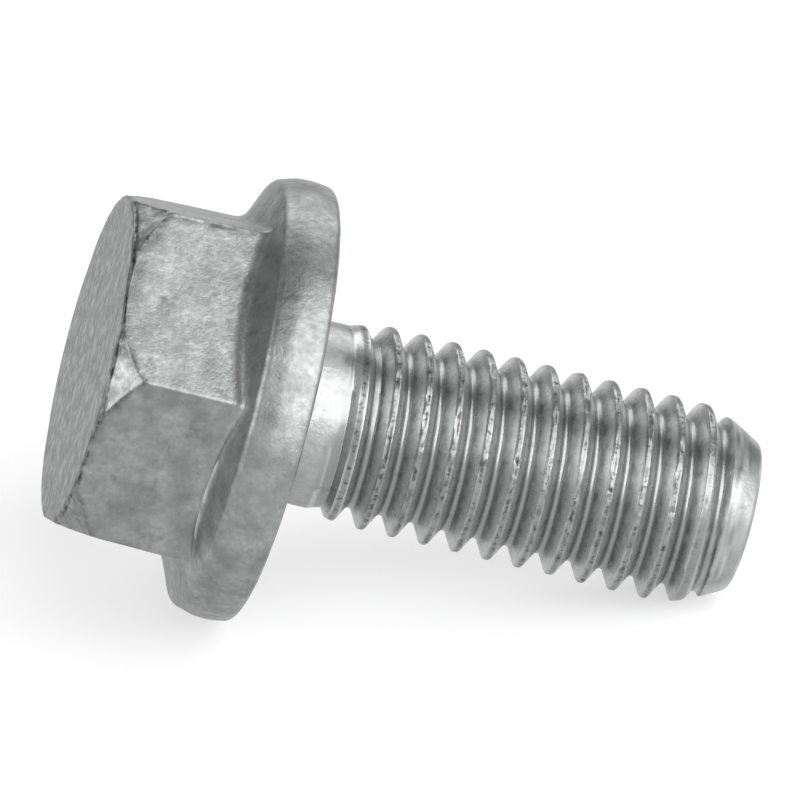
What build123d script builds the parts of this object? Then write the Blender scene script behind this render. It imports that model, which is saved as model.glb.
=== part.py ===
from build123d import *
from math import asin, atan2, cos, degrees, hypot, radians, sin, tan
import os

os.makedirs("parts", exist_ok=True)

# A hexagon head screw with a flange, M8 x 1.25, 18 long, all one forged and rolled piece
# It is made standing: axis on Z, bearing face at height zero, head up, thread down
# At the end it is laid down on the rim of its flange and the end of its thread

# Driving sizes of the thread
thread_size = 8
thread_pitch = 1.25
thread_flank = 30
thread_root_radius = 0.18
pitch_depth_share = 0.6495
major_allowance = 0.18
pitch_allowance = 0.088
blank_allowance = 0.07

# Driving sizes of the stem
stem_length = 18.35
shank_length = 1.75
runout_length = 1.6
underhead_radius = 0.4
lead_length = 1.03
lead_angle = 17.3
point_length = 1.37
point_angle = 28
point_edge_radius = 0.35

# Driving sizes of the hexagon
hex_draft = 1.3
hex_corner_radius = 0.18
head_height = 7.7
head_top_over = 0.1
head_chamfer_angle = 54

# Driving sizes of the flange, and how far it reaches past the hexagon's flats
flange_diameter = 17.24
flange_overhang = 2.07
flange_widest_height = 0.85
rim_height = 2.2
rim_top_inset = 0.25
rim_bottom_inset = 0.07
rim_edge_radius = 0.3
rim_crown_radius = 0.45
flange_cone_angle = 24
neck_radius = 0.6

# Where the seam of the turned flange lies, a little round from the rim's lowest point
flange_seam = 1.5

# How the hexagon and the thread stand to each other, and how the screw is rolled as it lies
hex_turn = 24.1
thread_turn = 92
roll = 26

# How far the solids that cut, fill and join reach past each other, and how near a picked edge lies
reach = 4
bar_top = 3
bar_over = 0.04
groove_over = 0.3
fade_over = 0.02
fade_rise = 0.03
shank_in_head = 0.5
near = 0.01

# Thread section: a groove with 60 degree flanks and a round root
pitch_radius = (thread_size - pitch_depth_share * thread_pitch - pitch_allowance) / 2
thread_radius = (thread_size - major_allowance) / 2
groove_apex = pitch_radius - thread_pitch / 4 / tan(radians(thread_flank))
root_centre = groove_apex + thread_root_radius / sin(radians(thread_flank))
root_radius = root_centre - thread_root_radius
root_side = root_centre - thread_root_radius * sin(radians(thread_flank))
root_side_half = thread_root_radius * cos(radians(thread_flank))
bar_radius = thread_radius + bar_over
cutter_radius = bar_radius + bar_over
cutter_half = (cutter_radius - groove_apex) * tan(radians(thread_flank))

# Where the groove runs from and to, below the point and up into the shank
groove_turns = int(stem_length / thread_pitch) + 2
groove_start = -thread_pitch * (groove_turns + (thread_turn + roll) / 360)
groove_height = groove_over - shank_length - groove_start
bar_bottom = groove_start - thread_pitch
bar_length = bar_top - bar_bottom

# Shank and run-out
shank_radius = pitch_radius + blank_allowance / 2
runout_end = shank_length + runout_length
fade_radius = shank_radius + fade_over
fade_slope = (fade_radius + fade_rise - root_radius) / runout_length
fade_top = bar_top + shank_in_head
fade_bottom = -runout_end - reach
fade_top_radius = fade_radius + fade_slope * (fade_top + shank_length)
fade_bottom_radius = fade_radius + fade_slope * (fade_bottom + shank_length)
rise_bottom = shank_radius + bar_length * (thread_radius - shank_radius) / runout_length

# Tapered point
lead_start = stem_length - point_length - lead_length
lead_end = stem_length - point_length
lead_slope = tan(radians(lead_angle))
point_slope = tan(radians(point_angle))
lead_radius = thread_radius - lead_length * lead_slope
point_radius = lead_radius - point_length * point_slope
point_edge_centre = point_radius - point_edge_radius * tan(radians(90 - point_angle) / 2)
lead_cone_top = thread_radius + (lead_start + bar_top) * lead_slope
lead_cone_bottom = thread_radius + (lead_start + bar_bottom) * lead_slope
point_cone_height = stem_length + bar_top
point_cone_top = point_radius + point_cone_height * point_slope

# Head and flange
hex_half = flange_diameter / 2 - flange_overhang
hex_corner = hex_half / cos(radians(30))
head_top_radius = hex_half - head_height * tan(radians(hex_draft)) + head_top_over
chamfer_drop = (hex_corner + reach - head_top_radius) * tan(radians(head_chamfer_angle))
rim_radius = flange_diameter / 2
rim_top_radius = rim_radius - rim_top_inset
rim_bottom_radius = rim_radius - rim_bottom_inset
edge_centre = rim_bottom_radius - rim_edge_radius
edge_middle = rim_edge_radius * sin(radians(45))
cone_inner = hex_half - neck_radius
cone_top = rim_height + (rim_top_radius - cone_inner) * tan(radians(flange_cone_angle))

# Stem: a bar with the helical groove cut along it
with BuildPart() as stem:
    with Locations((0, 0, (bar_top + bar_bottom) / 2)):
        Cylinder(bar_radius, bar_length)
    with BuildLine() as groove_path:
        Helix(thread_pitch, groove_height, thread_radius, center=(0, 0, groove_start))
    with BuildSketch(Plane.XZ):
        with BuildLine():
            Line((cutter_radius, groove_start + cutter_half), (root_side, groove_start + root_side_half))
            ThreePointArc(
                (root_side, groove_start + root_side_half),
                (root_radius, groove_start),
                (root_side, groove_start - root_side_half),
            )
            Line((root_side, groove_start - root_side_half), (cutter_radius, groove_start - cutter_half))
            Line((cutter_radius, groove_start - cutter_half), (cutter_radius, groove_start + cutter_half))
        make_face()
    sweep(path=groove_path.line, is_frenet=True, mode=Mode.SUBTRACT)
    # A cone fills the groove again where it fades out toward the plain shank
    with Locations((0, 0, (fade_top + fade_bottom) / 2)):
        Cone(fade_bottom_radius, fade_top_radius, fade_top - fade_bottom)
    # Crests brought down to the outer diameter
    with Locations((0, 0, (bar_top + bar_bottom) / 2)):
        Cylinder(thread_radius, bar_length + reach, mode=Mode.INTERSECT)
    # Tapered point: a gentle lead, then a steeper end with a flat face
    with Locations((0, 0, (bar_top + bar_bottom) / 2)):
        Cone(lead_cone_bottom, lead_cone_top, bar_length, mode=Mode.INTERSECT)
    with Locations((0, 0, point_cone_height / 2 - stem_length)):
        Cone(point_radius, point_cone_top, point_cone_height, mode=Mode.INTERSECT)
    # Top of the bar taken off, so that the plain shank can take its place
    with Locations((0, 0, -shank_length - bar_length / 2)):
        Box(thread_size * 2, thread_size * 2, bar_length, mode=Mode.INTERSECT)
    # First crest rising out of the shank along a cone
    with Locations((0, 0, -shank_length - bar_length / 2)):
        Cone(rise_bottom, shank_radius, bar_length, mode=Mode.INTERSECT)
    # Plain shank, reaching a little way into the head
    with Locations((0, 0, (shank_in_head - shank_length) / 2)):
        Cylinder(shank_radius, shank_in_head + shank_length)
    fillet(stem.faces().sort_by(Axis.Z)[0].edges(), point_edge_radius)

# Forged hexagon, a little wider at the flange, its corners cut back by a cone at the top
with BuildPart() as hexagon:
    with BuildSketch() as hex_section:
        RegularPolygon(hex_half, 6, major_radius=False, rotation=hex_turn + roll)
        fillet(hex_section.vertices(), hex_corner_radius)
    extrude(amount=head_height, taper=hex_draft)
    with BuildSketch(Plane.XZ):
        with BuildLine():
            Polyline(
                (0, 0),
                (hex_corner + reach, 0),
                (hex_corner + reach, head_height - chamfer_drop),
                (head_top_radius, head_height),
                (0, head_height),
                (0, 0),
            )
        make_face()
    revolve(axis=Axis.Z, mode=Mode.INTERSECT)

# Flange with a flat bearing face, a barrel rim and a shallow cone up to the hexagon
with BuildPart() as screw:
    with BuildSketch(Plane.XZ.rotated((0, 0, flange_seam))):
        with BuildLine():
            Line((0, 0), (edge_centre, 0))
            ThreePointArc(
                (edge_centre, 0),
                (edge_centre + edge_middle, rim_edge_radius - edge_middle),
                (rim_bottom_radius, rim_edge_radius),
            )
            ThreePointArc(
                (rim_bottom_radius, rim_edge_radius),
                (rim_radius, flange_widest_height),
                (rim_top_radius, rim_height),
            )
            Line((rim_top_radius, rim_height), (cone_inner, cone_top))
            Line((cone_inner, cone_top), (0, cone_top))
            Line((0, cone_top), (0, 0))
        make_face()
    revolve(axis=Axis.Z)
    add(hexagon.part)
    # Soft neck where the hexagon grows out of the cone
    neck = screw.edges().filter_by_position(Axis.Z, rim_height + near, cone_top)
    fillet(neck.filter_by(GeomType.LINE, reverse=True), neck_radius)
    rim_crown = screw.edges().filter_by_position(Axis.Z, rim_height - near, rim_height + near)
    fillet(rim_crown, rim_crown_radius)
    add(stem.part)
    # Fillet under the head
    seat = screw.edges().filter_by(GeomType.CIRCLE).filter_by_position(Axis.Z, -near, near)
    fillet(seat.sort_by(SortBy.RADIUS)[0], underhead_radius)


# Lying on the floor: the rim's round edge touches, and so does the crest that leans out furthest
def outer_radius(depth):
    lead = thread_radius - lead_slope * max(depth - lead_start, 0)
    return min(lead, lead_radius - point_slope * (depth - lead_end))


def lying_tilt(depth):
    fall = edge_centre - outer_radius(depth)
    run = depth + rim_edge_radius
    return degrees(atan2(fall, run) + asin(rim_edge_radius / hypot(fall, run)))


tilts = []
crests_near_point = range(2, 7)
for turn in crests_near_point:
    crest = -groove_start - thread_pitch * turn
    crest_half = thread_pitch / 2 - (outer_radius(crest) - groove_apex) * tan(radians(thread_flank))
    tilts.append(lying_tilt(crest - crest_half))
    tilts.append(lying_tilt(crest + crest_half))
tilt = radians(min(tilts))
bearing_height = rim_edge_radius + edge_centre * cos(tilt) - rim_edge_radius * sin(tilt)
reach_left = head_height * cos(tilt) + head_top_radius * sin(tilt)
reach_right = (stem_length - point_edge_radius) * cos(tilt) + point_edge_centre * sin(tilt) + point_edge_radius
bearing_shift = (reach_left - reach_right) / 2

# Screw laid down with its point toward +X
lying = Plane(
    origin=(bearing_shift, 0, bearing_height),
    x_dir=(sin(tilt), 0, cos(tilt)),
    z_dir=(-cos(tilt), 0, sin(tilt)),
)
with BuildPart() as flange_screw:
    add(lying.location * screw.part)
flange_screw.part.label = "flange_screw"
export_step(flange_screw.part, "parts/flange_screw.step")
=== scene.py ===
from math import atan2, ceil, cos, pi, radians, sin, sqrt, tan

import bpy
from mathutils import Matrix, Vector, noise


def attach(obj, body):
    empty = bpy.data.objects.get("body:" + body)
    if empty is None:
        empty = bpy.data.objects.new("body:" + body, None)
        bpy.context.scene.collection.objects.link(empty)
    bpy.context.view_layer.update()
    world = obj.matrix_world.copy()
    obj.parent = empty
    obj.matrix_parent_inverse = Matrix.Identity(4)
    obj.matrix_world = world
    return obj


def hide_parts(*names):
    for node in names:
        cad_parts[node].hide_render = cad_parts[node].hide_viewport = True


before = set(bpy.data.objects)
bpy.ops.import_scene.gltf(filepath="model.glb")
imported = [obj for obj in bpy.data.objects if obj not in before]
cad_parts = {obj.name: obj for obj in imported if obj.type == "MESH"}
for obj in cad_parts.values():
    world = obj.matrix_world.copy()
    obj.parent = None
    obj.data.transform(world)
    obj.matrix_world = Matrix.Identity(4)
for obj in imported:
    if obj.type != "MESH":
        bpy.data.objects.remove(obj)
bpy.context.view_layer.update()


# Hexagon flange screw, M8 x 1.25 by 18: one piece of steel wire, cold forged into a head with
# a wide flange, its thread then rolled between two dies, and the whole coated in zinc flake.
# Sizes are in millimetres, standing on the axis: bearing face at height 0, head up, thread down
hex_half = 6.55
hex_draft = tan(radians(1.3))
hex_corner_radius = 0.18
hex_corner_angle = 50.1
head_height = 7.7
face_radius = 6.475
chamfer_slope = tan(radians(54))
rim_radius = 8.62
rim_top_radius = 8.37
rim_bottom_radius = 8.55
rim_widest_height = 0.85
rim_height = 2.2
rim_edge_radius = 0.3
rim_crown_radius = 0.45
cone_slope = tan(radians(24))
neck_radius = 0.6
shank_radius = 3.585
underhead_radius = 0.4
thread_radius = 3.91
thread_pitch = 1.25
root_radius = 3.19
root_round = 0.18
groove_apex = 3.009
groove_start = -20.41
shank_end = 1.75
runout_length = 1.6
lead_start = 15.95
lead_end = 16.98
lead_slope = tan(radians(17.3))
point_slope = tan(radians(28))
stem_length = 18.35
point_edge_radius = 0.35
tilt = 16.0136
bearing_centre = (-4.59759, 0, 8.14711)

# One skin is wrapped round the axis, so that head, flange, shank and thread flow into each other.
# Its columns stand close together at the six corners and its rows follow the edges of the screw
column_steps = (0, 0.17, 0.5, 0.85, 1.4, 2.2, 3.2, 4.4, 5.8, 7.3, 8.9, 10.6, 12.4, 14.2, 16.1)
column_steps += (18.1, 20.1, 22.1, 24.1, 26.1, 28.1)
seam_angle = hex_corner_angle - 30
columns = []
for corner in range(6):
    middle = hex_corner_angle + 60 * corner
    columns.append(middle - 30)
    columns += [middle - step for step in reversed(column_steps[1:])]
    columns += [middle + step for step in column_steps]
columns.append(seam_angle + 360)


def wander(x, y, z, size, seed):
    """Soft random number from -1 to 1 that changes over this many millimetres."""
    return noise.noise(Vector((x / size + seed, y / size - seed, z / size + 2 * seed)))


def hexagon_radius(angle, height):
    """Distance from the axis to the hexagon's side, its corners slightly rounded."""
    half = hex_half - height * hex_draft
    off = radians(abs((angle - hex_corner_angle + 30) % 60 - 30))
    centre = (half - hex_corner_radius) / cos(radians(30))
    if centre * sin(off) < hex_corner_radius / 2 * cos(off):
        return centre * cos(off) + sqrt(hex_corner_radius**2 - (centre * sin(off)) ** 2)
    return half / cos(radians(30) - off)


def ramp(value, start, end):
    """0 up to the start, 1 from the end on, and an even slope between them."""
    return max(min((value - start) / (end - start), 1), 0)


# No arc takes up more than this share of the straight run before or after it
longest_cut = 0.45


def rounded(before, corner, after, radius, steps):
    """Points of the arc that rounds off a corner between two straight runs."""
    before, corner, after = Vector(before), Vector(corner), Vector(after)
    back, ahead = before - corner, after - corner
    inside = back.angle(ahead) / 2
    cut = min(radius / tan(inside), back.length * longest_cut, ahead.length * longest_cut)
    start, end = corner + back.normalized() * cut, corner + ahead.normalized() * cut
    pull = sin(inside)
    points = []
    for step in range(steps + 1):
        t = step / steps
        a, b, c = (1 - t) ** 2, 2 * t * (1 - t) * pull, t**2
        points.append(tuple((start * a + corner * b + end * c) / (a + b + c)))
    return points


def between(start, end, shares):
    """Points along the straight run from one point to another."""
    return [tuple(Vector(start).lerp(Vector(end), share)) for share in shares]


def even(count):
    """Equal shares of a run, without its two ends."""
    return [(step + 1) / (count + 1) for step in range(count)]


def arc_through(low, middle, high, steps):
    """Points of the arc through three points, from the last to the first."""
    (ax, ay), (bx, by), (cx, cy) = low, middle, high
    d = 2 * (ax * (by - cy) + bx * (cy - ay) + cx * (ay - by))
    a2, b2, c2 = ax * ax + ay * ay, bx * bx + by * by, cx * cx + cy * cy
    ux = (a2 * (by - cy) + b2 * (cy - ay) + c2 * (ay - by)) / d
    uy = (a2 * (cx - bx) + b2 * (ax - cx) + c2 * (bx - ax)) / d
    radius = sqrt((ax - ux) ** 2 + (ay - uy) ** 2)
    first, last = atan2(cy - uy, cx - ux), atan2(ay - uy, ax - ux)
    turns = [first + (last - first) * step / steps for step in range(steps + 1)]
    return [(ux + radius * cos(turn), uy + radius * sin(turn)) for turn in turns]


# The head from the middle of its end face down to the shank, as radius and height. The face
# stands up a little past a fine step, where the die that formed it left its edge
step_depth = 0.13
step_inset = 0.05
step_unevenness = 0.4
edge_unevenness = 0.03
edge_noise_radius = 7
least_ledge = 0.03
least_shoulder = 0.02
least_chamfer = 0.05
ledge_fall = 0.01
face_edge_round = 0.05
step_foot_round = 0.03
shoulder_round = 0.16
face_rings = (0.12, 0.25, 0.38, 0.5, 0.62, 0.73, 0.82, 0.9, 0.95, 0.98, 0.993)
rim_steps, crown_step = 12, 5
shank_rows = (-0.6, -0.8)


def head_line(angle):
    """Points down the head at one angle, each with the name of the place that it lies on."""
    x, y = edge_noise_radius * cos(radians(angle)), edge_noise_radius * sin(radians(angle))
    edge = min(face_radius, hexagon_radius(angle, head_height)) - step_inset
    edge += edge_unevenness * wander(x, y, 0, 0.9, 3)
    uneven = step_unevenness * wander(x, y, 0, 1.3, 5)
    ledge_height = head_height - step_depth * (1 + uneven)
    shoulder_height = ledge_height - least_chamfer
    for settle in range(4):
        side = hexagon_radius(angle, shoulder_height)
        drop = max((side - face_radius) * chamfer_slope, 0)
        shoulder_height = min(head_height - drop, ledge_height - least_chamfer)
    side = hexagon_radius(angle, shoulder_height)
    ledge_radius = face_radius + (head_height - ledge_height) / chamfer_slope
    ledge_radius = max(min(ledge_radius, side - least_shoulder), edge + least_ledge)
    neck_height = rim_height
    for settle in range(12):
        neck = hexagon_radius(angle, neck_height)
        neck_height = rim_height + (rim_top_radius - neck) * cone_slope
    face_edge, step_foot = (edge, head_height), (edge, ledge_height)
    ledge, shoulder = (ledge_radius, ledge_height - ledge_fall), (side, shoulder_height)
    neck_corner, crown_corner = (neck, neck_height), (rim_top_radius, rim_height)
    rim_widest, rim_low = (rim_radius, rim_widest_height), (rim_bottom_radius, rim_edge_radius)
    above, bottom, foot = (rim_bottom_radius, rim_height), (rim_bottom_radius, 0), (shank_radius, 0)
    rim = arc_through(rim_low, rim_widest, crown_corner, rim_steps)[crown_step:-1]
    crown = rounded(neck_corner, crown_corner, rim[0], rim_crown_radius, 7)
    neck_arc = rounded(shoulder, neck_corner, crown[0], neck_radius, 7)
    shoulder_arc = rounded(ledge, shoulder, neck_arc[0], shoulder_round, 4)
    face_arc = rounded((0, head_height), face_edge, step_foot, face_edge_round, 3)
    foot_arc = rounded(face_edge, step_foot, ledge, step_foot_round, 2)
    lower = rounded(above, bottom, foot, rim_edge_radius, 5)
    under = rounded(bottom, foot, (shank_radius, -shank_end), underhead_radius, 6)
    line = [((0, head_height), "face")]
    line += [(point, "face") for point in between((0, head_height), face_arc[0], face_rings)]
    line += [(point, "lip") for point in face_arc]
    line += [(point, "step") for point in foot_arc]
    line += [(ledge, "chamfer")]
    line += [(point, "chamfer") for point in between(ledge, shoulder_arc[0], even(7))]
    line += [(point, "shoulder") for point in shoulder_arc]
    line += [(point, "side") for point in between(shoulder_arc[-1], neck_arc[0], even(16))]
    line += [(point, "neck") for point in neck_arc]
    line += [(point, "cone") for point in between(neck_arc[-1], crown[0], even(7))]
    line += [(point, "crown") for point in crown]
    line += [(point, "rim") for point in between(crown[-1], rim[0], even(2)) + rim]
    line += [(point, "rim edge") for point in lower]
    line += [(point, "bearing") for point in between(lower[-1], under[0], even(7))]
    line += [(point, "under") for point in under]
    line += [((shank_radius, height), "shank") for height in shank_rows]
    return line


# The rolled thread. The groove's section is repeated at every turn, and each row climbs one
# pitch in one turn, right-handed, held between the plain shank and the tapered point
section = (0, 0.065, 0.12, 0.158, 0.205, 0.33, 0.45, 0.505, 0.55, 0.595)
section = [thread_pitch / 2] + list(reversed(section)) + [-offset for offset in section[1:]]
thread_top = -1.0
thread_bottom = -17.78
thread_flank = radians(30)

# The dies don't quite fill the crests, which stay uneven, a little low and leaning to one side
crest_noise_radius = 3.9
crest_half = 0.16
crest_round = 0.09
crest_roughness = 0.1
crest_lean = 0.2
crest_depth = 0.01
# Where the painted light on the thread's flanks starts and stops, as distances from the middle of
# the groove
flank_foot, flank_top = (0.17, 0.22), (0.55, 0.48)

# How the groove fades out toward the shank and how the crests are cut down at the point
fade_over, fade_rise = 0.02, 0.03
runout_round = 0.05
rise_round = 0.04
taper_reach = 0.3
taper_round = 0.05
end_crest_round = 0.08

# Heights of the rows at the seam, from the shank down past the end of the thread
seam_groove = groove_start + thread_pitch * seam_angle / 360
first_turn = ceil((thread_top - seam_groove) / thread_pitch)
last_turn = int((thread_bottom - thread_pitch - seam_groove) / thread_pitch) - 1
thread_rows = []
for turn in range(first_turn, last_turn - 1, -1):
    thread_rows += [seam_groove + turn * thread_pitch + offset for offset in section]


def soft_lower(a, b, blend):
    """The lower of two radii, with a soft turn from one to the other."""
    share = ramp(b - a, -blend, blend)
    return b + (a - b) * share - blend * share * (1 - share)


def soft_higher(a, b, blend):
    """The higher of two radii, with the same soft turn."""
    return -soft_lower(-a, -b, blend)


def groove_offset(angle, height):
    """How far this lies above the middle of the nearest turn of the groove."""
    off = height - groove_start - thread_pitch * angle / 360
    return (off + thread_pitch / 2) % thread_pitch - thread_pitch / 2


def thread_profile(angle, height):
    """Radius of the thread here, how near it is to its crest, and how far up a flank it is."""
    x, y = crest_noise_radius * cos(radians(angle)), crest_noise_radius * sin(radians(angle))
    off = abs(groove_offset(angle, height))
    past_crest = off - thread_pitch / 2
    centre = root_radius + root_round
    if off < root_round * cos(thread_flank):
        radius = centre - sqrt(root_round**2 - off**2)
    else:
        radius = groove_apex + off / tan(thread_flank)
    crest = ramp(abs(past_crest), crest_half, 0)
    # How much painted light the flank gets here
    flank = min(ramp(off, *flank_foot), ramp(off, *flank_top))
    rough = max(wander(x, y, height, 0.7, 11), 0) + max(wander(x, y, height, 0.28, 12), 0)
    lean = crest_lean * wander(x, y, height, 1.5, 13) * past_crest
    top = thread_radius - crest_depth - lean - crest_roughness * crest * rough
    radius = soft_lower(radius, min(top, thread_radius), crest_round)
    if height > -shank_end:
        return shank_radius, 0, 0
    below = -height - shank_end
    rise = shank_radius + below * (thread_radius - shank_radius) / runout_length
    fade = shank_radius + fade_over
    fade -= below * (fade + fade_rise - root_radius) / runout_length
    radius = soft_lower(soft_higher(radius, fade, runout_round), rise, rise_round)
    if -height > lead_start - taper_reach:
        lead = thread_radius - (-height - lead_start) * lead_slope
        point = thread_radius - (lead_end - lead_start) * lead_slope
        point -= (-height - lead_end) * point_slope
        taper = soft_lower(lead, point, taper_round)
        crest *= ramp(taper - radius, -0.2, 0)
        flank *= ramp(taper - radius, -0.05, 0.05)
        radius = soft_lower(radius, taper, end_crest_round)
    return radius, crest, flank


# The end of the point: its flat face, the rounded edge round it, and the streaks that run round
# its cone where it has been scraped bare
scuff_share = 0.28
scuff_change = 0.6
scuff_most = 0.8
streak_length, streak_width = 0.6, 0.2
point_gap = 0.02
point_rings = (0.12, 0.3, 0.5, 0.7, 0.86, 1)


def scuff(turn, height):
    """How bare the point is here."""
    x, y = streak_length * cos(turn), streak_length * sin(turn)
    streak = wander(x, y, height, streak_width, 21)
    return max(min(scuff_share + scuff_change * streak, scuff_most), 0)


point_radius = thread_radius - (lead_end - lead_start) * lead_slope
point_radius -= (stem_length - lead_end) * point_slope
point_top = thread_bottom - point_gap
point_start = (thread_profile(0, point_top)[0], point_top)
point_corner, point_middle = (point_radius, -stem_length), (0, -stem_length)
point_arc = rounded(point_start, point_corner, point_middle, point_edge_radius, 6)
point_line = point_arc + between(point_arc[-1], point_middle, point_rings)

# Every row and column put in its place, and signs kept for the finish: where dirt gathers and where
# shade is painted into creases, how near a crest or a flank is (the flanks get painted light), what
# is rolled smooth, what has rubbed bare or carries a painted highlight, and the end face
head_lines = [head_line(angle) for angle in columns]
head_rows = len(head_lines[0])
row_count = head_rows + len(thread_rows) + len(point_line)

bpy.ops.object.select_all(action="DESELECT")
bpy.ops.mesh.primitive_grid_add(
    x_subdivisions=len(columns) - 1, y_subdivisions=row_count - 1, size=2, location=(0, 0, 0)
)
screw = bpy.context.object
screw.name = "screw_skin"
mesh = screw.data
mesh.name = "screw_skin"
signs = {name: [] for name in ("shade_and_dirt", "crest", "flank", "rolled", "bare", "end_face")}

# A forged face is never quite flat: how deep its waves and its small pits are at each place, and
# how dark each place is painted, with dirt on the lip, chamfer and shoulder and painted shade in
# the crease at the foot of the step
wide_wave, short_wave, pit_size = 2.2, 0.9, 0.45
hollow = {
    "face": (0.012, 0.0), "lip": (0.01, 0.03), "step": (0.01, 0.0), "chamfer": (0.03, 0.09),
    "shoulder": (0.02, 0.08), "side": (0.03, 0.0), "neck": (0.03, 0.0), "cone": (0.04, 0.0),
    "crown": (0.03, 0.01), "rim": (0.03, 0.008), "rim edge": (0.02, 0.01),
    "bearing": (0.01, 0.0), "under": (0.0, 0.0), "shank": (0.0, 0.0),
}
place_dirt_and_shade = {"step": 1.0, "lip": 0.2, "chamfer": 0.3, "shoulder": 0.35}

# A lap in the steel runs along each corner, deep at one and nearly closed at the next, and shade is
# painted into it. One corner's chamfer has a painted highlight in its middle and dirt toward its
# ends, and the end of the head has a few nicks with painted shade in them, each with its angle,
# height, size and depth
lap_shares = (0.5, 0.9, 0.3, 0.7, 0.12, 1.0)
lap_aside, lap_half, lap_depth = -1.1, 0.5, 0.05
lap_wave, lap_lift, lap_shade = 1.6, 0.45, 1.8
shoulder_dirt = (0.4, 0.55, 0.3, 0.2, 0.65, 0.9)
shoulder_half, chamfer_half = 17, 19
highlight_corner = 4
highlight_from, highlight_to, dirty_from = -13, 4, 11
painted_highlight_share, dirty_share = 0.35, 0.75
nicks = ((341.5, 6.85, 0.42, 0.05), (296, 6.35, 0.3, 0.06), (318, 6.2, 0.5, 0.03))
nick_shade = 0.6

# The fine ridge left on one side, where two dies met round the foot of the hexagon, rubbed bare and
# painted lighter as a highlight
ridge_middle, ridge_half, ridge_height, ridge_shine = 257, 30, 0.06, 0.6

# Painted shade lies in a thin line on each side of the thread's root, where the flanks meet it. The
# plain shank shines, and the dies roll the steel smooth from just below the head, but hardly touch
# the point
root_line, root_line_half, root_shade = 0.2, 0.06, 0.55
shank_shine = 0.3
rolled_from, rolled_to = shank_end - 0.4, shank_end + 0.1
point_from, point_to = lead_end - 0.1, lead_end + 0.05
point_rolled = 0.4
end_edge = 0.1

for vertex in mesh.vertices:
    column = round((vertex.co.x + 1) / 2 * (len(columns) - 1))
    row = round((1 - vertex.co.y) / 2 * (row_count - 1))
    angle = columns[column]
    turn = radians(angle)
    dirt_and_shade = crest = flank = face = rolled = bare = 0
    if row < head_rows:
        line = head_lines[column]
        (radius, height), place = line[row]
        ahead, behind = line[min(row + 1, head_rows - 1)][0], line[max(row - 1, 0)][0]
        along = Vector((ahead[0] - behind[0], ahead[1] - behind[1])).normalized()
        x, y = radius * cos(turn), radius * sin(turn)
        wave, rough = hollow[place]
        sunk = wave * (1 - wander(x, y, height, wide_wave, 1)) / 2
        sunk += wave * (1 - wander(x, y, height, short_wave, 2)) / 3
        sunk += rough * (1 - wander(x, y, height, pit_size, 4)) / 2
        if radius > 0.01:
            radius -= sunk * -along.y
        height -= sunk * along.x
        face = 1 if place in ("face", "lip") else 0
        # Dirt on the lip, chamfer and shoulder; painted shade in the crease at the foot of the step
        dirt_and_shade = place_dirt_and_shade.get(place, 0)
        bare = shank_shine if place in ("under", "shank") else 0
        off_corner = (angle - hex_corner_angle + 30) % 60 - 30
        corner = round((angle - hex_corner_angle) / 60) % 6
        if place in ("shoulder", "side"):
            lap = ramp(abs(off_corner - lap_aside), lap_half, 0) * lap_shares[corner]
            lap *= max(wander(x, y, height, lap_wave, 6) + lap_lift, 0)
            radius -= lap_depth * lap
            # Painted shade in the lap
            dirt_and_shade = max(dirt_and_shade, min(lap_shade * lap, 1))
        if place == "shoulder" and abs(off_corner) < shoulder_half:
            dirt_and_shade = max(dirt_and_shade, shoulder_dirt[corner])
        # Painted highlight in the middle of this chamfer, and dirt toward its ends
        if place == "chamfer" and corner == highlight_corner and abs(off_corner) < chamfer_half:
            if highlight_from < off_corner < highlight_to:
                bare = painted_highlight_share
            elif abs(off_corner) > dirty_from:
                dirt_and_shade = dirty_share
        for nick_angle, nick_height, nick_size, nick_depth in nicks:
            aside = radius * radians(angle - nick_angle)
            apart = sqrt(aside**2 + (2 * (height - nick_height)) ** 2) / nick_size
            if apart < 1:
                radius -= nick_depth * (1 - apart**2)
                # Painted shade in the nick
                dirt_and_shade = max(dirt_and_shade, nick_shade * (1 - apart**2))
        if place == "neck" and line[row + 1][1] == "cone":
            ridge = cos(ramp(abs(angle - ridge_middle), 0, ridge_half) * pi / 2)
            height += ridge_height * ridge
            # Lighter along the ridge: partly rubbed bare, partly a painted highlight
            bare = ridge * max(min(ridge_shine + wander(x, y, 0, 0.6, 9), 1), 0)
    elif row < head_rows + len(thread_rows):
        height = thread_rows[row - head_rows] + thread_pitch * (angle - seam_angle) / 360
        height = max(min(height, thread_top), thread_bottom)
        radius, crest, flank = thread_profile(angle, height)
        rolled = ramp(-height, rolled_from, rolled_to)
        if height < thread_top - runout_length:
            off_line = abs(abs(groove_offset(angle, height)) - root_line)
            # Painted shade in a thin line on each side of the root
            dirt_and_shade = root_shade * ramp(off_line, root_line_half, 0)
        bare = shank_shine * (1 - rolled)
        at_point = ramp(-height, point_from, point_to)
        rolled *= 1 - (1 - point_rolled) * at_point
        bare = max(bare, at_point * scuff(turn, height))
    else:
        radius, height = point_line[row - head_rows - len(thread_rows)]
        rolled = point_rolled
        bare = scuff(turn, height) * ramp(height + stem_length, 0, end_edge)
    vertex.co = (radius * cos(turn), radius * sin(turn), height)
    for name, value in zip(signs, (dirt_and_shade, crest, flank, rolled, bare, face)):
        signs[name].append(value)

for name, values in signs.items():
    mesh.attributes.new(name, "FLOAT", "POINT").data.foreach_set("value", values)

bpy.ops.object.mode_set(mode="EDIT")
bpy.ops.mesh.select_all(action="SELECT")
bpy.ops.mesh.remove_doubles(threshold=0.0008)
bpy.ops.mesh.dissolve_degenerate(threshold=0.0001)
bpy.ops.mesh.normals_make_consistent(inside=False)
bpy.ops.object.mode_set(mode="OBJECT")

# Laid down on the rim of its flange and the end of its thread, its place kept in its mesh
screw.scale = (0.001, 0.001, 0.001)
screw.rotation_euler = (0, radians(tilt - 90), 0)
screw.location = [value / 1000 for value in bearing_centre]
bpy.ops.object.transform_apply(location=True, rotation=True, scale=True)
bpy.ops.object.shade_smooth_by_angle(angle=radians(38))


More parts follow.
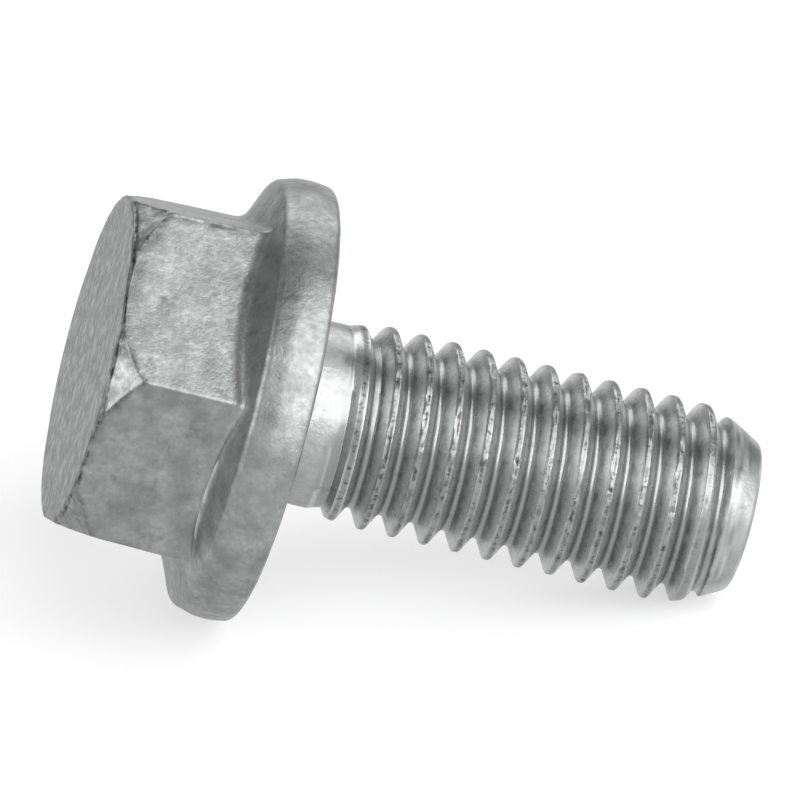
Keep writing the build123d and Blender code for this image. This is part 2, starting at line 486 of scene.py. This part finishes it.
def linear(colour):
    """The light of a colour written as sRGB hex."""
    light = []
    for start in (1, 3, 5):
        part = int(colour[start:start + 2], 16) / 255
        light.append(part / 12.92 if part <= 0.04045 else ((part + 0.055) / 1.055) ** 2.4)
    return light + [1]


def node(tree, kind, inputs=None, **settings):
    """Adds one node, with its settings and what goes into each of its sockets."""
    made = tree.nodes.new(kind)
    for name, value in settings.items():
        setattr(made, name, value)
    for socket, value in (inputs or {}).items():
        if isinstance(value, bpy.types.NodeSocket):
            tree.links.new(value, made.inputs[socket])
        else:
            made.inputs[socket].default_value = value
    return made


# Zinc flake coat: thin flakes of zinc and aluminium in a matt binder, dipped, spun and baked.
# It is silver grey and cloudy, grainy on flat places, thin and shiny on edges that rub
zinc = bpy.data.materials.new("zinc_flake_coat")
zinc.use_nodes = True
tree = zinc.node_tree
tree.nodes.clear()
on_screw = node(tree, "ShaderNodeMapping", {
    "Vector": node(tree, "ShaderNodeTexCoord").outputs["Object"],
    "Location": [value / 1000 for value in bearing_centre],
    "Rotation": (0, radians(tilt - 90), 0), "Scale": (0.001, 0.001, 0.001),
}, vector_type="TEXTURE").outputs[0]
light_zinc, dark_zinc = linear("#9fa2a1"), linear("#7a7d7c")
# The flanks' lighter colour is painted light, standing in for the light that bounces into the
# groove
rolled_zinc, flank_painted_light = linear("#8e9190"), linear("#c0c3c2")
# The dark brown stands both for dirt and for painted shade
bare_shine, dull_spot, dirt_and_shade_brown = linear("#dadcda"), linear("#5b5e5f"), linear("#343637")

# Patterns on the coat, each with the width of its spots in millimetres and how finely they break
# up. The flakes are too small to show, so the grain is drawn coarser than it is
patterns = {
    "cloud": (1.1, 5), "grain": (0.24, 4), "fine_grain": (0.09, 2), "spots": (0.2, 2),
    "flecks": (0.2, 3), "blotches": (0.5, 3), "face_marks": (0.6, 7),
}
shows = {}
for name, (size, detail) in patterns.items():
    shows[name] = node(tree, "ShaderNodeTexNoise", {
        "Vector": on_screw, "Scale": 1 / size, "Detail": detail, "Roughness": 0.6,
    }).outputs["Fac"]
for name in signs:
    shows[name] = node(tree, "ShaderNodeAttribute", attribute_name=name).outputs["Fac"]

# The coat's colours, each laid over the last: the sign that holds it to a place, if any, the
# pattern or sign that spreads it, from which value to which, and how much of it shows at each
layers = (
    (None, "cloud", 0.34, 0.66, 0, 1, dark_zinc),
    (None, "grain", 0.35, 0.72, 0, 0.6, dark_zinc),
    (None, "rolled", 0, 1, 0, 0.85, rolled_zinc),
    # Painted light: the thread's flanks are made lighter
    (None, "flank", 0, 1, 0, 0.75, flank_painted_light),
    (None, "blotches", 0.58, 0.75, 0, 0.45, dull_spot),
    (None, "spots", 0.62, 0.75, 0, 0.6, dull_spot),
    (None, "flecks", 0.6, 0.85, 0, 0.35, bare_shine),
    ("end_face", "face_marks", 0.5, 0.3, 0, 0.3, bare_shine),
    ("end_face", "face_marks", 0.4, 0.66, 0.2, 0.85, dull_spot),
    ("crest", "blotches", 0.45, 0.6, 0, 0.65, dull_spot),
    ("crest", "spots", 0.54, 0.62, 0, 0.85, dirt_and_shade_brown),
    # Bare metal where worn, with a painted highlight on one chamfer and along the ridge
    (None, "bare", 0, 1, 0, 0.9, bare_shine),
    # Dirt, with painted shade in the step's crease, the laps, the nicks and beside the thread's
    # root
    ("shade_and_dirt", "blotches", 0.36, 0.58, 0, 1, dirt_and_shade_brown),
)
colour = light_zinc
for held, pattern, low, high, least, most, over in layers:
    share = node(tree, "ShaderNodeMapRange", {
        "Value": shows[pattern], "From Min": low, "From Max": high, "To Min": least, "To Max": most,
    }).outputs[0]
    if held:
        factors = {0: shows[held], 1: share}
        share = node(tree, "ShaderNodeMath", factors, operation="MULTIPLY").outputs[0]
    over_last = {"Factor": share, 6: colour, 7: over}
    colour = node(tree, "ShaderNodeMix", over_last, data_type="RGBA").outputs[2]

# A matt coat whose roughness follows its grain. The dies leave the thread smoother, apart from
# its uneven crests
roughness = 1
for pattern, low, high, least, most in (
    ("grain", 0.3, 0.7, 0.34, 0.5), ("rolled", 0, 1, 1, 0.72), ("crest", 0, 1, 1, 1.3),
):
    change = node(tree, "ShaderNodeMapRange", {
        "Value": shows[pattern], "From Min": low, "From Max": high, "To Min": least, "To Max": most,
    }).outputs[0]
    factors = {0: roughness, 1: change}
    roughness = node(tree, "ShaderNodeMath", factors, operation="MULTIPLY").outputs[0]

# The grain stands up 0.02 mm, and less where the dies have pressed it flat
fine_share, flattened = 0.35, 0.3
fine = node(tree, "ShaderNodeMath", {0: shows["fine_grain"], 1: fine_share}, operation="MULTIPLY")
relief = node(tree, "ShaderNodeMath", {0: shows["grain"], 1: fine.outputs[0]}, operation="ADD")
pressed = node(tree, "ShaderNodeMapRange", {
    "Value": shows["rolled"], "From Min": 0, "From Max": 1, "To Min": 1, "To Max": flattened,
})
factors = {0: relief.outputs[0], 1: pressed.outputs[0]}
relief = node(tree, "ShaderNodeMath", factors, operation="MULTIPLY").outputs[0]
bump = node(tree, "ShaderNodeBump", {"Strength": 1.0, "Distance": 0.00002, "Height": relief})
surface = node(tree, "ShaderNodeBsdfPrincipled", {
    "Base Color": colour, "Metallic": 0.85, "Roughness": roughness, "Normal": bump.outputs[0],
})
node(tree, "ShaderNodeOutputMaterial", {"Surface": surface.outputs[0]})
screw.data.materials.append(zinc)

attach(screw, "root")
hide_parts("flange_screw")


# Plain white table that the screw lies on, wide enough to fill every view. A matt sheet that
# takes the screw's shadow, with a little light of its own so that it shows as white
bpy.ops.object.select_all(action="DESELECT")
bpy.ops.mesh.primitive_plane_add(size=4, location=(0, 0, 0))
floor = bpy.context.object
floor.name = "floor"
paper = bpy.data.materials.new("white_table")
paper.use_nodes = True
sheet = paper.node_tree
sheet.nodes.clear()
path = node(sheet, "ShaderNodeLightPath").outputs
seen = node(sheet, "ShaderNodeMath", {
    0: path["Is Camera Ray"], 1: path["Is Glossy Ray"],
}, operation="MAXIMUM").outputs[0]
seen = node(sheet, "ShaderNodeMath", {
    0: seen, 1: path["Is Transmission Ray"],
}, operation="MAXIMUM").outputs[0]
table_lift = 0.6
lift = node(sheet, "ShaderNodeMath", {0: seen, 1: table_lift}, operation="MULTIPLY").outputs[0]
matt = node(sheet, "ShaderNodeBsdfDiffuse", {"Color": linear("#a4a4a4")})
glow = node(sheet, "ShaderNodeEmission", {"Color": (1, 1, 1, 1), "Strength": lift})
both = node(sheet, "ShaderNodeAddShader", {0: matt.outputs[0], 1: glow.outputs[0]})
node(sheet, "ShaderNodeOutputMaterial", {"Surface": both.outputs[0]})
floor.data.materials.append(paper)


# Soft studio light from panel lamps: a wide one high in front, a small one at each end and a
# wide one behind. The walls are pale low down and dark above, so the round stem gets clear bands
lamp_distance = 0.45


def softbox(name, azimuth, elevation, width, height, brightness):
    """A panel lamp facing the screw. Azimuth 0 is the front, and brightness 1 shows as white."""
    azimuth, elevation = radians(azimuth), radians(elevation)
    across = cos(elevation)
    toward = Vector((sin(azimuth) * across, -cos(azimuth) * across, sin(elevation)))
    lamp = bpy.data.lights.new(name, "AREA")
    lamp.shape = "RECTANGLE"
    lamp.size, lamp.size_y = width, height
    lamp.energy = brightness * pi * width * height
    holder = bpy.data.objects.new(name, lamp)
    holder.location = toward * lamp_distance
    holder.rotation_euler = toward.to_track_quat("Z", "Y").to_euler()
    bpy.context.collection.objects.link(holder)


softbox("front_panel", 38, 38, 0.66, 0.54, 3.4)
softbox("left_panel", -72, 25, 0.26, 0.24, 3.6)
softbox("right_panel", 78, 14, 0.18, 0.2, 2.6)
softbox("back_panel", 172, 40, 0.56, 0.26, 2.5)
world = bpy.data.worlds.new("white_room")
world.use_nodes = True
bpy.context.scene.world = world
room = world.node_tree
room.nodes.clear()
looking = node(room, "ShaderNodeSeparateXYZ", {
    "Vector": node(room, "ShaderNodeTexCoord").outputs["Generated"],
}).outputs
wall = node(room, "ShaderNodeMapRange", {
    "Value": looking["Z"], "From Min": 0.1, "From Max": 0.6, "To Min": 0.9, "To Max": 0.15,
}).outputs[0]
far_wall = node(room, "ShaderNodeMapRange", {
    "Value": looking["Y"], "From Min": -0.2, "From Max": 0.6, "To Min": 1, "To Max": 0.45,
}).outputs[0]
level = node(room, "ShaderNodeMath", {0: wall, 1: far_wall}, operation="MULTIPLY").outputs[0]
walls = node(room, "ShaderNodeBackground", {"Color": (1, 1, 1, 1), "Strength": level})
node(room, "ShaderNodeOutputWorld", {"Surface": walls.outputs[0]})


# Camera with a long lens, looking down at the screw from the front, as in the photograph. Its
# angles and the width that it sees were fitted to the screw's outline, and it is aimed so that
# the middle of the bearing face lies where the photograph has it, counted in pixels
camera_turn, camera_drop = radians(2.74), radians(24.41)
view_width = 0.030521
camera_distance = 1.4
image_width = 800
image_scale = image_width / view_width
bearing_in_image = (280.7, 405.3)
ahead = Vector((
    sin(camera_turn) * cos(camera_drop), cos(camera_turn) * cos(camera_drop), -sin(camera_drop)
))
right = Vector((cos(camera_turn), -sin(camera_turn), 0))
down = ahead.cross(right)
target = Vector(bearing_centre) / 1000
target += right * (image_width / 2 - bearing_in_image[0]) / image_scale
target += down * (image_width / 2 - bearing_in_image[1]) / image_scale
lens = bpy.data.cameras.new("camera")
lens.type = "PERSP"
lens.sensor_width = 36
lens.lens = lens.sensor_width * camera_distance / view_width
camera = bpy.data.objects.new("camera", lens)
camera.location = target - ahead * camera_distance
camera.rotation_euler = ahead.to_track_quat("-Z", "Y").to_euler()
bpy.context.collection.objects.link(camera)
bpy.context.scene.camera = camera
bpy.context.scene.view_settings.view_transform = "Standard"
